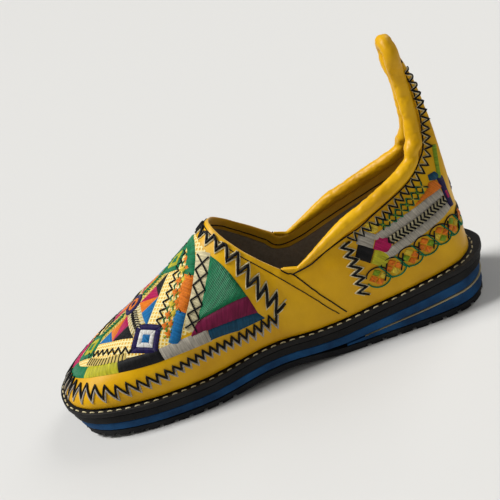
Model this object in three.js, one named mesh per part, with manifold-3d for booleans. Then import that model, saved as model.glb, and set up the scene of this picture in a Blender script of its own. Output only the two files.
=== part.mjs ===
// A babouche slipper with a stacked platform sole, a closed vamp and a tall heel tab.
// Millimetres, +Z up. +X runs from the heel to the toe and +Y to the wearer's left.
// The origin is on the floor, in the middle of the sole's box.
// The last is straight, so left and right mirror.
import * as THREE from "three";
import { mergeVertices } from "three/addons/utils/BufferGeometryUtils.js";
import Module from "manifold-3d";

// ---- driving dimensions ----
const gap = 0.3; // between pieces that touch in the real shoe
const wall = 2.2; // leather and lining together

const sole = {
  archFrom: -46, // the waist is lifted between these two stations
  archTo: 42,
  archRise: 4,
  springFrom: 62, // the toe curls up from here
  springTo: 134,
  springRise: 5.8,
  wedgeTip: -20, // where the heel wedge has run out
  wedgeFull: -104, // the wedge has its whole height behind this
  toeUndercut: 6, // how much shorter the tread is than the welt at the toe
  heelUndercut: 5, // and at the back of the heel
  heelFrom: -100, // the heel's undercut starts here
};

// Thickness of each layer at the heel and at the forefoot, how far its edge is set in from the welt's,
// and the share of the toe's and the heel's undercut that it takes. A layer that is only under the heel
// also has the least thickness that it is cut down to.
const layers = {
  outsole: { heel: 4.3, fore: 4.0, inset: 0.5, undercut: 1.0 },
  heel_wedge: { heel: 6.5, fore: 0, inset: 0.9, undercut: 0.75, leastThickness: 0.6 },
  wedge_line: { heel: 1.4, fore: 0, inset: 0.6, undercut: 0.6, leastThickness: 0.2 },
  blue_midsole: { heel: 6.0, fore: 5.0, inset: 0.9, undercut: 0.65 },
  black_midsole: { heel: 5.3, fore: 4.9, inset: 0.5, undercut: 0.3 },
  welt: { heel: 3.0, fore: 3.0, inset: 0, undercut: 0 },
};

const tread = { pitch: 9, groove: 2.4, depth: 1.5, heelFrom: -124, heelTo: -52, foreFrom: 30, foreTo: 120 };

const insole = { thickness: 3, clearance: 1.3 };

const binding = { radius: 3.9, sides: 12, steps: 96 };

// The last, one row for each section line from the middle of the toe round to the middle of the heel.
// foot: where the line leaves the sole. ledge: how far the welt stands out there.
// top: where the line ends, on the throat, the collar or the edge of the heel tab.
// lift: the line's first handle, from the foot. sweep: its second handle, from the top.
const columns = [
  ...["footX", "footY", "ledge", "topX", "topY", "topZ"],
  ...["liftX", "liftY", "liftZ", "sweepX", "sweepY", "sweepZ"],
];
const sections = [
  [130.5, 0, 3.5, 11.5, 0, 93, 6.5, 0, 8, 42, 0, -32.5], // middle of the toe to the throat
  [128.2, 14, 3.5, 11, 4.5, 92.6, 6, 1.5, 8.5, 41, 3.5, -32],
  [120.5, 29, 3.5, 9.5, 9.5, 91, 4.5, 3.5, 10, 39.5, 7.5, -31],
  [105, 38, 3.5, 6.5, 14.5, 87.5, 2, 4.2, 12.5, 37, 11, -29],
  [80, 41.8, 3.5, 2, 19.5, 82.5, 0, 4, 17, 30, 12.5, -25.5], // ball
  [50, 41.3, 3.5, -5, 24, 75, -0.5, 3, 19, 19, 10.5, -20.5],
  [18, 36.2, 3.2, -12.5, 26.8, 67.5, -1, 2, 17, 9, 6.5, -17],
  [-12, 33.3, 3, -19, 28, 61.5, -0.5, 1.5, 14, 2, 4, -13], // end of the throat
  [-30, 32.5, 3, -26, 28.3, 56.5, 0, 1.3, 12, -0.5, 3, -11], // start of the collar
  [-62, 31.8, 3, -57, 25.8, 65.5, 0, 1.2, 15, -1, 3.2, -14],
  [-92, 31, 3.5, -86, 21.5, 75, 0, 1, 18, -1, 4.5, -17],
  [-111, 27, 4.5, -106, 15.5, 84, 0, 0.8, 20, -4, 5, -18], // foot of the heel tab
  [-121, 18.5, 5.5, -115.5, 8, 98, 0.5, 0.6, 24, -5, 4, -21],
  [-125, 11, 6, -117.5, 5.6, 120, 1.5, 0.3, 28, -6.5, 2.2, -25],
  [-126.6, 5, 6.5, -116.4, 5.6, 142, 4, 0, 31, -11.5, 0.9, -26],
  [-127, 0, 7, -114.5, 0, 150.5, 5.5, 0, 34, -14.5, 0, -26], // middle of the heel to the tab's tip
].map((row) => Object.fromEntries(columns.map((name, i) => [name, row[i]])));

const collarRow = 7.55; // the binding starts behind this section
const stepsPerRow = 3; // ring points between two rows of the table
const stepsUp = 14; // points from the foot to the top of a section line

// ---- curves ----
const lastRow = sections.length - 1;
const ringRows = [...sections, ...sections.slice(1, lastRow).reverse().map((row) => mirrored(row))];

// The same section on the other side of the shoe.
function mirrored(row) {
  const sided = ["footY", "topY", "liftY", "sweepY"];
  return { ...row, ...Object.fromEntries(sided.map((name) => [name, -row[name]])) };
}

// A smooth closed curve through one point of every row.
function ringCurve(pointOf) {
  return new THREE.CatmullRomCurve3(ringRows.map(pointOf), true, "catmullrom", 0.5);
}

const footCurve = ringCurve((row) => new THREE.Vector3(row.footX, row.footY, 0));
const ledgeCurve = ringCurve((row) => new THREE.Vector3(row.ledge, 0, 0));
const topCurve = ringCurve((row) => new THREE.Vector3(row.topX, row.topY, row.topZ));
const liftCurve = ringCurve((row) => new THREE.Vector3(row.liftX, row.liftY, row.liftZ));
const sweepCurve = ringCurve((row) => new THREE.Vector3(row.sweepX, row.sweepY, row.sweepZ));

// Height of the tread above the floor.
function floorLine(x) {
  const along = (x - sole.archFrom) / (sole.archTo - sole.archFrom);
  const arch = along > 0 && along < 1 ? sole.archRise * Math.sin(Math.PI * along) ** 2 : 0;
  const spring = Math.max(0, (x - sole.springFrom) / (sole.springTo - sole.springFrom));
  return arch + sole.springRise * spring ** 2;
}

// Thickness of a layer at one station, from the heel's figure to the forefoot's.
function thickness(name, x) {
  const { heel, fore } = layers[name];
  const share = THREE.MathUtils.clamp((sole.wedgeTip - x) / (sole.wedgeTip - sole.wedgeFull), 0, 1);
  return fore + (heel - fore) * share;
}

const order = Object.keys(layers);

// Underside of a layer, counted up from the floor through the layers below it.
function underside(name, x) {
  const below = order.slice(0, order.indexOf(name));
  return below.reduce((z, other) => z + thickness(other, x), floorLine(x));
}

const weltTop = (x) => underside("welt", x) + thickness("welt", x);

// A point of the sole's plan at ring position t: out from the foot curve by the ledge, and in again by inset.
function planPoint(t, inset) {
  const foot = footCurve.getPoint(t);
  const along = footCurve.getTangent(t);
  const out = new THREE.Vector3(along.y, -along.x, 0).normalize();
  if (out.dot(foot) < 0) out.negate();
  return foot.addScaledVector(out, ledgeCurve.getPoint(t).x - inset);
}

// A point of the upper's outside at ring position t and height share v.
function upperPoint(t, v) {
  const foot = footCurve.getPoint(t);
  foot.z = weltTop(foot.x) + gap;
  const top = topCurve.getPoint(t);
  const lifted = foot.clone().add(liftCurve.getPoint(t));
  const swept = top.clone().add(sweepCurve.getPoint(t));
  return new THREE.CubicBezierCurve3(foot, lifted, swept, top).getPoint(v);
}

// The upper's outward direction at the same place.
function upperNormal(t, v) {
  const small = 1e-3;
  const low = Math.max(0, v - small);
  const high = Math.min(1, v + small);
  const up = upperPoint(t, high).sub(upperPoint(t, low));
  const round = upperPoint((t + small) % 1, v).sub(upperPoint((t + 1 - small) % 1, v));
  return round.cross(up).normalize();
}

// ---- geometry ----
function geometryOf(points, triangles) {
  const geometry = new THREE.BufferGeometry().setFromPoints(points);
  geometry.setIndex(triangles);
  geometry.computeVertexNormals();
  return geometry;
}

// Rings of the same number of points, joined one to the next and the last to the first.
function closedLoft(rings) {
  const size = rings[0].length;
  const triangles = [];
  rings.forEach((ring, i) => {
    const next = (i + 1) % rings.length;
    for (let j = 0; j < size; j += 1) {
      const k = (j + 1) % size;
      const [a, b, c, d] = [i * size + j, next * size + j, next * size + k, i * size + k];
      triangles.push(a, b, c, a, c, d);
    }
  });
  return geometryOf(rings.flat(), triangles);
}

// A plate between two height functions. stations hold x and half-width y from heel to toe; a zero y is a tip.
function plate(stations, bottomOf, topOf) {
  const points = [];
  const corners = stations.map(({ x, y }) => {
    const sides = y > 0 ? [y, -y] : [0];
    const first = points.length;
    sides.forEach((side) => {
      points.push(new THREE.Vector3(x, side, bottomOf(x)), new THREE.Vector3(x, side, topOf(x)));
    });
    const right = y > 0 ? first + 2 : first;
    return { leftLow: first, leftHigh: first + 1, rightLow: right, rightHigh: right + 1 };
  });
  const triangles = [];
  const quad = (a, b, c, d) => {
    if (a !== b && b !== c && a !== c) triangles.push(a, b, c);
    if (a !== c && c !== d && a !== d) triangles.push(a, c, d);
  };
  for (let i = 0; i + 1 < corners.length; i += 1) {
    const [p, q] = [corners[i], corners[i + 1]];
    quad(p.leftHigh, p.rightHigh, q.rightHigh, q.leftHigh);
    quad(p.rightLow, p.leftLow, q.leftLow, q.rightLow);
    quad(p.leftLow, p.leftHigh, q.leftHigh, q.leftLow);
    quad(p.rightHigh, p.rightLow, q.rightLow, q.rightHigh);
  }
  const [back, front] = [corners[0], corners[corners.length - 1]];
  quad(back.leftLow, back.rightLow, back.rightHigh, back.leftHigh);
  quad(front.leftLow, front.leftHigh, front.rightHigh, front.rightLow);
  return geometryOf(points, triangles);
}

// Half the sole's plan from heel to toe, set in by inset and cut short at both ends by a share of the
// undercuts.
function planStations(inset, undercut) {
  const half = lastRow * stepsPerRow;
  const stations = [];
  for (let i = half; i >= 0; i -= 1) {
    const point = planPoint(i / (2 * half), inset);
    const toward = Math.max(0, (point.x - sole.springFrom) / (sole.springTo - sole.springFrom));
    const back = Math.max(0, (sole.heelFrom - point.x) / (sole.heelFrom + sole.springTo));
    const shift = sole.heelUndercut * back ** 1.5 - sole.toeUndercut * toward ** 2;
    const tip = i === 0 || i === half;
    stations.push({ x: point.x + undercut * shift, y: tip ? 0 : Math.abs(point.y) });
  }
  return stations;
}

// ---- sub-parts ----
function soleLayer(name) {
  const { inset, undercut } = layers[name];
  const stations = planStations(inset, undercut);
  const topOf = (x) => underside(name, x) + thickness(name, x) - (name === "welt" ? 0 : gap);
  return plate(stations, (x) => underside(name, x), topOf);
}

// A layer that is only under the heel: its plan stops where it has run out to its least thickness.
function heelLayer(name) {
  const { inset, undercut, leastThickness } = layers[name];
  const stations = planStations(inset, undercut).filter(({ x }) => thickness(name, x) > leastThickness + gap);
  return plate(stations, (x) => underside(name, x), (x) => underside(name, x) + thickness(name, x) - gap);
}

const wasm = await Module();
wasm.setup();

function solidOf(geometry) {
  const bare = geometry.clone();
  bare.deleteAttribute("normal");
  bare.deleteAttribute("uv");
  const merged = mergeVertices(bare, 1e-4);
  return new wasm.Manifold(
    new wasm.Mesh({
      numProp: 3,
      vertProperties: merged.attributes.position.array,
      triVerts: new Uint32Array(merged.index.array),
    }),
  );
}

function geometryFrom(solid) {
  const { vertProperties, triVerts } = solid.getMesh();
  const geometry = new THREE.BufferGeometry();
  geometry.setAttribute("position", new THREE.BufferAttribute(vertProperties, 3));
  geometry.setIndex(new THREE.BufferAttribute(triVerts, 1));
  geometry.computeVertexNormals();
  return geometry;
}

// The rubber tread, with grooves right across it under the heel and the forefoot.
function outsoleGeometry() {
  let solid = solidOf(soleLayer("outsole"));
  const reach = 120; // each cutter is wider than the sole
  const below = 10; // and starts below the floor
  for (const [from, to] of [[tread.heelFrom, tread.heelTo], [tread.foreFrom, tread.foreTo]]) {
    for (let x = from; x <= to; x += tread.pitch) {
      const height = below + floorLine(x) + tread.depth;
      const groove = new THREE.BoxGeometry(tread.groove, reach, height);
      groove.translate(x, 0, height / 2 - below);
      solid = solid.subtract(solidOf(groove));
    }
  }
  return geometryFrom(solid);
}

// The hollow upper: an outer and an inner skin a wall apart, closed along the foot and along the top edge.
function upperGeometry() {
  const around = ringRows.length * stepsPerRow;
  const rings = [];
  for (let i = 0; i < around; i += 1) {
    const t = i / around;
    const outer = [];
    const inner = [];
    for (let j = 0; j <= stepsUp; j += 1) {
      const v = j / stepsUp;
      const point = upperPoint(t, v);
      const inward = upperNormal(t, v).multiplyScalar(-wall);
      if (j === 0) inward.z = 0;
      outer.push(point);
      inner.unshift(point.clone().add(inward));
    }
    rings.push([...outer, ...inner]);
  }
  return closedLoft(rings);
}

// The centre line of the padded roll: a radius beyond the collar's edge, from one end of the throat to the
// other.
class BindingPath extends THREE.Curve {
  getPoint(share) {
    const first = collarRow / ringRows.length;
    const t = first + share * (1 - 2 * first);
    const outward = upperNormal(t, 1);
    const beyond = outward.clone().cross(topCurve.getTangent(t)).normalize();
    const edge = upperPoint(t, 1).addScaledVector(outward, -wall / 2);
    return edge.addScaledVector(beyond, binding.radius + 2 * gap);
  }
}

function bindingGeometry() {
  const circle = new THREE.Shape().absarc(0, 0, binding.radius, 0, 2 * Math.PI);
  const section = new THREE.Shape(circle.getSpacedPoints(binding.sides).slice(0, -1));
  return new THREE.ExtrudeGeometry(section, { steps: binding.steps, extrudePath: new BindingPath() });
}

// The footbed lies on the welt, inside the upper's wall.
function insoleGeometry() {
  const half = lastRow * stepsPerRow;
  const stations = [];
  for (let i = half; i >= 0; i -= 1) {
    const t = i / (2 * half);
    const point = planPoint(t, ledgeCurve.getPoint(t).x + wall + insole.clearance);
    const tip = i === 0 || i === half;
    stations.push({ x: point.x, y: tip ? 0 : Math.abs(point.y) });
  }
  return plate(stations, (x) => weltTop(x) + gap, (x) => weltTop(x) + gap + insole.thickness);
}

// ---- assembly ----
const finishes = {
  rubber: { color: 0x15161a, roughness: 0.8, metalness: 0 },
  blueFoam: { color: 0x1c4f86, roughness: 0.7, metalness: 0 },
  corkStrip: { color: 0xa89a7a, roughness: 0.85, metalness: 0 },
  suede: { color: 0x6f675c, roughness: 0.95, metalness: 0 },
  yellowLeather: { color: 0xe0a80c, roughness: 0.45, metalness: 0 },
};

const slipper = new THREE.Group();

function add(name, geometry, finish) {
  const mesh = new THREE.Mesh(geometry, new THREE.MeshStandardMaterial(finishes[finish]));
  mesh.name = name;
  slipper.add(mesh);
}

add("outsole", outsoleGeometry(), "rubber");
add("heel_wedge", heelLayer("heel_wedge"), "blueFoam");
add("wedge_line", heelLayer("wedge_line"), "corkStrip");
add("blue_midsole", soleLayer("blue_midsole"), "blueFoam");
add("black_midsole", soleLayer("black_midsole"), "rubber");
add("welt", soleLayer("welt"), "rubber");
add("insole", insoleGeometry(), "suede");
add("upper", upperGeometry(), "yellowLeather");
add("collar_binding", bindingGeometry(), "yellowLeather");

export default slipper;
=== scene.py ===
import math
import random

import bmesh
import bpy
from mathutils import Matrix, Vector, kdtree, noise
from mathutils.bvhtree import BVHTree


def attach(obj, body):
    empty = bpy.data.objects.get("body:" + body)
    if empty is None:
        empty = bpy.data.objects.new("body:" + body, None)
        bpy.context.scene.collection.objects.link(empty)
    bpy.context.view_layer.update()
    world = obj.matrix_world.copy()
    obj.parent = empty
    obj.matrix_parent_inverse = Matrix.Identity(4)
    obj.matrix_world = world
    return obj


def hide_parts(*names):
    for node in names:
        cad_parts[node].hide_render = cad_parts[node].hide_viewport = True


# A babouche slipper: yellow leather on a layered platform sole, embroidered on the vamp and round the heel.
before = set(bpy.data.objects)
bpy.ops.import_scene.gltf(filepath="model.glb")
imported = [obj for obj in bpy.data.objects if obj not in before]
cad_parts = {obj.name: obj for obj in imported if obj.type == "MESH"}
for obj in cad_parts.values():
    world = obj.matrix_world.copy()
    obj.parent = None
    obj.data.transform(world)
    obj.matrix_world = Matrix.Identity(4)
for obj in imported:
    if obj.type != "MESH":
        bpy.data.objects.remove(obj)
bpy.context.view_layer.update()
random.seed(11)
mm = 0.001
print("frame loaded")


def srgb(code):
    # sRGB hex to the linear values that a shader wants
    parts = [int(code[i:i + 2], 16) / 255 for i in (1, 3, 5)]
    linear = [c / 12.92 if c <= 0.04045 else ((c + 0.055) / 1.055) ** 2.4 for c in parts]
    return (*linear, 1)


def darker(colour, share):
    return tuple(c * share for c in colour[:3]) + (1,)


def addNode(tree, kind, settings=None, links=None):
    # settings name a socket or a property of the node, links name the socket that feeds each input
    node = tree.nodes.new(kind)
    for name, value in (settings or {}).items():
        if isinstance(name, int) or name in node.inputs:
            node.inputs[name].default_value = value
        else:
            setattr(node, name, value)
    for name, source in (links or {}).items():
        tree.links.new(source, node.inputs[name])
    return node


def newMaterial(name, roughness, settings=None):
    material = bpy.data.materials.new(name)
    material.use_nodes = True
    tree = material.node_tree
    tree.nodes.clear()
    shader = addNode(tree, "ShaderNodeBsdfPrincipled", {"Roughness": roughness, **(settings or {})})
    addNode(tree, "ShaderNodeOutputMaterial", None, {"Surface": shader.outputs[0]})
    return material, tree, shader


def mixColours(tree, factor, low, high):
    # low and high are colours or sockets
    node = addNode(tree, "ShaderNodeMix", {"data_type": "RGBA"}, {0: factor})
    for index, value in ((6, low), (7, high)):
        if isinstance(value, tuple):
            node.inputs[index].default_value = value
        else:
            tree.links.new(value, node.inputs[index])
    return node.outputs[2]


def mapRange(tree, value, fromLow, fromHigh, toLow, toHigh):
    limits = {"From Min": fromLow, "From Max": fromHigh, "To Min": toLow, "To Max": toHigh}
    return addNode(tree, "ShaderNodeMapRange", limits, {"Value": value}).outputs[0]


def bump(tree, height, depth, strength, under=None):
    links = {"Height": height}
    if under:
        links["Normal"] = under
    return addNode(tree, "ShaderNodeBump", {"Strength": strength, "Distance": depth}, links).outputs[0]


def noiseAt(tree, coords, sizeMm, detail=3, rough=0.55):
    # sizeMm is the size of one blotch
    settings = {"Scale": 1 / (sizeMm * mm), "Detail": detail, "Roughness": rough}
    return addNode(tree, "ShaderNodeTexNoise", settings, {"Vector": coords}).outputs[0]


def finishPiece(mesh, name, materials, smooth=True):
    obj = bpy.data.objects.new(name, mesh)
    bpy.context.scene.collection.objects.link(obj)
    for material in materials:
        mesh.materials.append(material)
    for polygon in mesh.polygons:
        polygon.use_smooth = smooth
    return obj


def meshFrom(bm, name):
    mesh = bpy.data.meshes.new(name)
    bm.to_mesh(mesh)
    bm.free()
    return mesh


def copyOfNode(node):
    # a CAD node's loose triangles, merged into quads
    bm = bmesh.new()
    bm.from_mesh(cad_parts[node].data)
    bmesh.ops.remove_doubles(bm, verts=bm.verts, dist=0.02 * mm)
    bmesh.ops.join_triangles(bm, faces=bm.faces, angle_face_threshold=0.6, angle_shape_threshold=3.1)
    bm.normal_update()
    return bm


def bakeModifiers(obj):
    # the modifiers' result becomes the object's own mesh
    depsgraph = bpy.context.evaluated_depsgraph_get()
    mesh = bpy.data.meshes.new_from_object(obj.evaluated_get(depsgraph))
    obj.modifiers.clear()
    obj.data = mesh
    return obj


def moveVertices(mesh, places):
    for vertex, place in zip(mesh.vertices, places):
        vertex.co = place


def pointTree(points):
    # finds the nearest of many points
    tree = kdtree.KDTree(len(points))
    for i, point in enumerate(points):
        tree.insert(point, i)
    tree.balance()
    return tree


def skinTree(mesh, index):
    # rays are cast on the faces of one material only
    verts = [vertex.co for vertex in mesh.vertices]
    return BVHTree.FromPolygons(verts, [list(p.vertices) for p in mesh.polygons if p.material_index == index])


def addSubdivision(obj, levels):
    modifier = obj.modifiers.new("smooth", "SUBSURF")
    modifier.levels = levels
    modifier.render_levels = levels


leather = {
    "lit": "#E9B300",
    "deep": "#CB9400",
    "roughness": 0.42,
    "driftMm": 38,  # size of the slow drifts of tone
    "grainMm": 1.1,
    "grainDepth": 0.05,
    "wrinkleMm": 7,
}


def leatherBase(tree, coords):
    # colour and bump of glazed sheepskin: slow drifts of tone, a fine pebble and soft wrinkles
    drift = noiseAt(tree, coords, leather["driftMm"], 4)
    tone = mapRange(tree, drift, 0.35, 0.7, 0, 1)
    colour = mixColours(tree, tone, srgb(leather["lit"]), srgb(leather["deep"]))
    grainScale = 1 / (leather["grainMm"] * mm)
    pebble = addNode(tree, "ShaderNodeTexVoronoi", {"Scale": grainScale}, {"Vector": coords})
    wrinkle = noiseAt(tree, coords, leather["wrinkleMm"], 5, 0.6)
    soft = bump(tree, wrinkle, 0.5 * mm, 0.5)
    return colour, bump(tree, pebble.outputs[0], leather["grainDepth"] * mm, 0.5, soft)


def makeLeather(name):
    # glazed sheepskin, dyed and rolled: an even yellow with a soft shine and a fine pebble
    glaze = {"Specular IOR Level": 0.22, "Coat Weight": 0.04, "Coat Roughness": 0.25}
    material, tree, shader = newMaterial(name, leather["roughness"], glaze)
    coords = addNode(tree, "ShaderNodeTexCoord").outputs["Object"]
    colour, normal = leatherBase(tree, coords)
    smoothest, roughest = leather["roughness"] - 0.08, leather["roughness"] + 0.1
    gloss = mapRange(tree, noiseAt(tree, coords, 12, 3), 0.3, 0.7, smoothest, roughest)
    tree.links.new(colour, shader.inputs["Base Color"])
    tree.links.new(gloss, shader.inputs["Roughness"])
    tree.links.new(normal, shader.inputs["Normal"])
    return material


def makeInside():
    # suede lining, sanded pigskin, with the yellow facing turned over it along the opening
    material, tree, shader = newMaterial("suede lining with leather facing", 0.9, {"Sheen Weight": 0.25})
    coords = addNode(tree, "ShaderNodeTexCoord").outputs["Object"]
    colour, grain = leatherBase(tree, coords)
    nap = noiseAt(tree, coords, 2.2, 6, 0.7)
    suede = mixColours(tree, mapRange(tree, nap, 0.3, 0.7, 0, 1), srgb("#7C7061"), srgb("#9A8D7B"))
    fromEdge = addNode(tree, "ShaderNodeAttribute", {"attribute_name": "edgeDistance"}).outputs["Fac"]
    isLining = mapRange(tree, fromEdge, facing["width"] * mm, (facing["width"] + 0.4) * mm, 0, 1)
    both = mixColours(tree, isLining, colour, suede)
    step = bump(tree, mapRange(tree, isLining, 0, 1, 1, 0), 0.8 * mm, 0.8, grain)
    tree.links.new(both, shader.inputs["Base Color"])
    tree.links.new(mapRange(tree, isLining, 0, 1, 0.45, 0.95), shader.inputs["Roughness"])
    tree.links.new(bump(tree, nap, 0.3 * mm, 0.4, step), shader.inputs["Normal"])
    return material


def makeSuede():
    # sanded footbed suede: matt, cloudy and a little fuzzy
    material, tree, shader = newMaterial("brushed suede", 0.95, {"Sheen Weight": 0.3})
    coords = addNode(tree, "ShaderNodeTexCoord").outputs["Object"]
    nap = noiseAt(tree, coords, 2, 6, 0.7)
    cloud = noiseAt(tree, coords, 22, 3)
    colour = mixColours(tree, mapRange(tree, cloud, 0.35, 0.65, 0, 1), srgb("#5E5246"), srgb("#7A6C5B"))
    tree.links.new(colour, shader.inputs["Base Color"])
    tree.links.new(bump(tree, nap, 0.3 * mm, 0.5), shader.inputs["Normal"])
    return material


def makeRubber(name, dark, light, roughness, poreMm):
    # cut foam rubber: a matt edge with fine open pores and drag marks from the trimming wheel
    material, tree, shader = newMaterial(name, roughness, {"Specular IOR Level": 0.22})
    coords = addNode(tree, "ShaderNodeTexCoord").outputs["Object"]
    stretched = addNode(tree, "ShaderNodeMapping", {"Scale": (0.15, 0.15, 1)}, {"Vector": coords}).outputs[0]
    drag = noiseAt(tree, stretched, 0.9, 3, 0.6)
    pores = noiseAt(tree, coords, poreMm, 4, 0.65)
    cloud = noiseAt(tree, coords, 16, 3)
    blend = addNode(tree, "ShaderNodeMath", {"operation": "MULTIPLY", 1: 1.4}, {0: cloud}).outputs[0]
    colour = mixColours(tree, mapRange(tree, blend, 0.45, 0.95, 0, 1), srgb(dark), srgb(light))
    tree.links.new(colour, shader.inputs["Base Color"])
    cut = mapRange(tree, pores, 0.3, 0.7, roughness - 0.1, roughness + 0.12)
    tree.links.new(cut, shader.inputs["Roughness"])
    trimmed = bump(tree, drag, 0.25 * mm, 0.45)
    tree.links.new(bump(tree, pores, 0.25 * mm, 0.5, trimmed), shader.inputs["Normal"])
    return material


def makeSatin(name, code):
    # rayon satin stitch: parallel filaments that catch the light across their length, with painted sheen and
    # painted shade streaked along the threads and painted shade in the gaps between strands
    # the strands are drawn 0.7 mm apart, about twice the usual spacing, so that they show
    material, tree, shader = newMaterial(name, 0.45, {"Specular IOR Level": 0.22, "Anisotropic": 0.4})
    uv = addNode(tree, "ShaderNodeUVMap", {"uv_map": "thread"}).outputs[0]
    waves = {"Scale": 0.45, "Distortion": 1.2, "Detail": 2, "Detail Scale": 0.6, "bands_direction": "X"}
    strand = addNode(tree, "ShaderNodeTexWave", waves, {"Vector": uv}).outputs[1]
    streakMap = addNode(tree, "ShaderNodeMapping", {"Scale": (1, 0.12, 1)}, {"Vector": uv}).outputs[0]
    streaks = {"Scale": 0.9, "Detail": 3}
    streak = addNode(tree, "ShaderNodeTexNoise", streaks, {"Vector": streakMap}).outputs[0]
    base = srgb(code)
    # painted shade and painted sheen: a darker and a lighter copy of the thread's colour, streaked along the
    # threads by noise
    paintedShade = darker(base, 0.62)
    light = tuple(min(1, c * 1.25 + 0.008) for c in base[:3]) + (1,)
    colour = mixColours(tree, mapRange(tree, streak, 0.32, 0.68, 0, 1), paintedShade, light)
    # painted shade darkens the gaps between the strands
    shadedGaps = mixColours(tree, mapRange(tree, strand, 0, 0.35, 0.45, 0), colour, paintedShade)
    tree.links.new(shadedGaps, shader.inputs["Base Color"])
    tree.links.new(bump(tree, strand, 0.35 * mm, 0.7), shader.inputs["Normal"])
    return material


def makeThread(name, code):
    # twisted polyester sewing thread: a dull shine and a slightly uneven tone
    material, tree, shader = newMaterial(name, 0.55, {"Specular IOR Level": 0.2})
    coords = addNode(tree, "ShaderNodeTexCoord").outputs["Object"]
    base = srgb(code)
    twist = noiseAt(tree, coords, 1.1, 2)
    colour = mixColours(tree, mapRange(tree, twist, 0.35, 0.65, 0, 1), darker(base, 0.6), base)
    tree.links.new(colour, shader.inputs["Base Color"])
    tree.links.new(bump(tree, twist, 0.2 * mm, 0.6), shader.inputs["Normal"])
    return material


facing = {"width": 8.8, "stitchAt": 6.2}  # millimetres below the opening, on the inside


def markSkins(bm):
    # flat regions between sharp edges: the two largest are the outer and the inner skin
    regions = []
    seen = set()
    for start in bm.faces:
        if start in seen:
            continue
        seen.add(start)
        region = [start]
        for face in region:
            for edge in face.edges:
                if len(edge.link_faces) == 2 and edge.calc_face_angle(0) < math.radians(50):
                    for other in edge.link_faces:
                        if other not in seen:
                            seen.add(other)
                            region.append(other)
        regions.append(region)
    regions.sort(key=lambda region: -sum(face.calc_area() for face in region))
    outer, inner = regions[:2]
    for face in bm.faces:
        face.material_index = 0
    for face in inner:
        face.material_index = 1
    return outer


def boundaryLoops(faces):
    # the ordered points of each closed border of a set of faces
    inside = set(faces)
    border = {}
    for face in faces:
        for loop in face.loops:
            if any(other not in inside for other in loop.edge.link_faces):
                border[loop.vert] = loop.link_loop_next.vert
    loops = []
    while border:
        vert = next(iter(border))
        points = []
        while vert in border:
            points.append(vert.co.copy())
            vert = border.pop(vert)
        loops.append(points)
    return loops


def orderedFromToe(points):
    # starts at the point nearest the toe on the centre line and goes to the wearer's left
    count = len(points)
    first = max((i for i in range(count) if abs(points[i].y) < 1.5 * mm), key=lambda i: points[i].x)
    turned = points[first:] + points[:first]
    return turned if turned[count // 4].y > 0 else [turned[0]] + turned[:0:-1]


upperCage = copyOfNode("upper")
outerFaces = markSkins(upperCage)
edgeLoops = sorted(boundaryLoops(outerFaces), key=len, reverse=True)[:2]
edgeLoops.sort(key=lambda points: sum(p.z for p in points) / len(points))
footLoop, openingLoop = [orderedFromToe(points) for points in edgeLoops]
print("upper: foot loop", len(footLoop), "opening loop", len(openingLoop))
upperSkins = [makeLeather("glazed yellow sheepskin"), makeInside()]
upper = finishPiece(meshFrom(upperCage, "upper"), "upper_leather", upperSkins)
addSubdivision(upper, 2)
bakeModifiers(upper)

# soft troughs and ridges: from, to (millimetres), width, height; mirrored to the other side
creases = [
    ((-22, 30, 58), (-40, 35, 30), 1.6, -0.7),  # seam between vamp and quarter
    ((-17, 30, 58), (-35, 36, 29), 2.6, 0.7),  # folded edge of the vamp in front of it
    ((-60, 32, 60), (-75, 33, 42), 5, -0.9),  # slack under the collar
    ((-48, 32, 52), (-66, 33, 34), 5, 0.8),
    ((-104, 22, 84), (-110, 20, 62), 4, -0.8),  # foot of the heel tab
    ((-116, 10, 104), (-119, 9, 78), 3.5, -0.6),
    ((2, 31, 62), (-6, 36, 36), 6, -0.8),  # behind the ball, where the foot bends
    ((30, 30, 66), (22, 40, 32), 7, -0.7),
]


def leftOf(heading):
    # square to a heading in a flat plan
    return Vector((-heading.y, heading.x, 0))


def nearSegment(point, start, end):
    along = end - start
    share = max(0, min(1, (point - start).dot(along) / along.length_squared))
    return (point - start - along * share).length, share


def workLeather(mesh):
    mesh.update()
    lines = []
    for start, end, width, height in creases:
        for side in (1, -1):
            a, b = [Vector((x, side * y, z)) * mm for x, y, z in (start, end)]
            lines.append((a, b, width * mm, height * mm))
    moved = []
    for vertex in mesh.vertices:
        shift = 0.35 * mm * noise.noise(vertex.co * 55) + 0.15 * mm * noise.noise(vertex.co * 160)
        for a, b, width, height in lines:
            gap, share = nearSegment(vertex.co, a, b)
            if gap < 3 * width:
                strength = 0.75 + 0.25 * math.cos(2 * share * math.pi)
                shift += height * math.exp(-(gap / width) ** 2) * strength
        moved.append(vertex.co + vertex.normal * shift)
    moveVertices(mesh, moved)


def densePoints(loop, step):
    # a closed line with points no further apart than step
    dense = []
    for a, b in zip(loop, loop[1:] + loop[:1]):
        count = max(1, math.ceil((b - a).length / step))
        dense += [a.lerp(b, i / count) for i in range(count)]
    return dense


def storeEdgeDistance(mesh):
    # how far each point of the upper is from the opening's edge, for the facing's border
    tree = pointTree(densePoints(openingLoop, mm))
    attribute = mesh.attributes.new("edgeDistance", "FLOAT", "POINT")
    for vertex in mesh.vertices:
        attribute.data[vertex.index].value = tree.find(vertex.co)[2]


workLeather(upper.data)
storeEdgeDistance(upper.data)
outerSkin = skinTree(upper.data, 0)
innerSkin = skinTree(upper.data, 1)
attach(upper, "root")
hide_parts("upper")
print("upper worked")


# A plan is drawn in millimetres, as if the leather lay flat, and each point is carried to the surface.
longestGap = 11 * mm  # a row ends where the next point is further away than this


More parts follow.
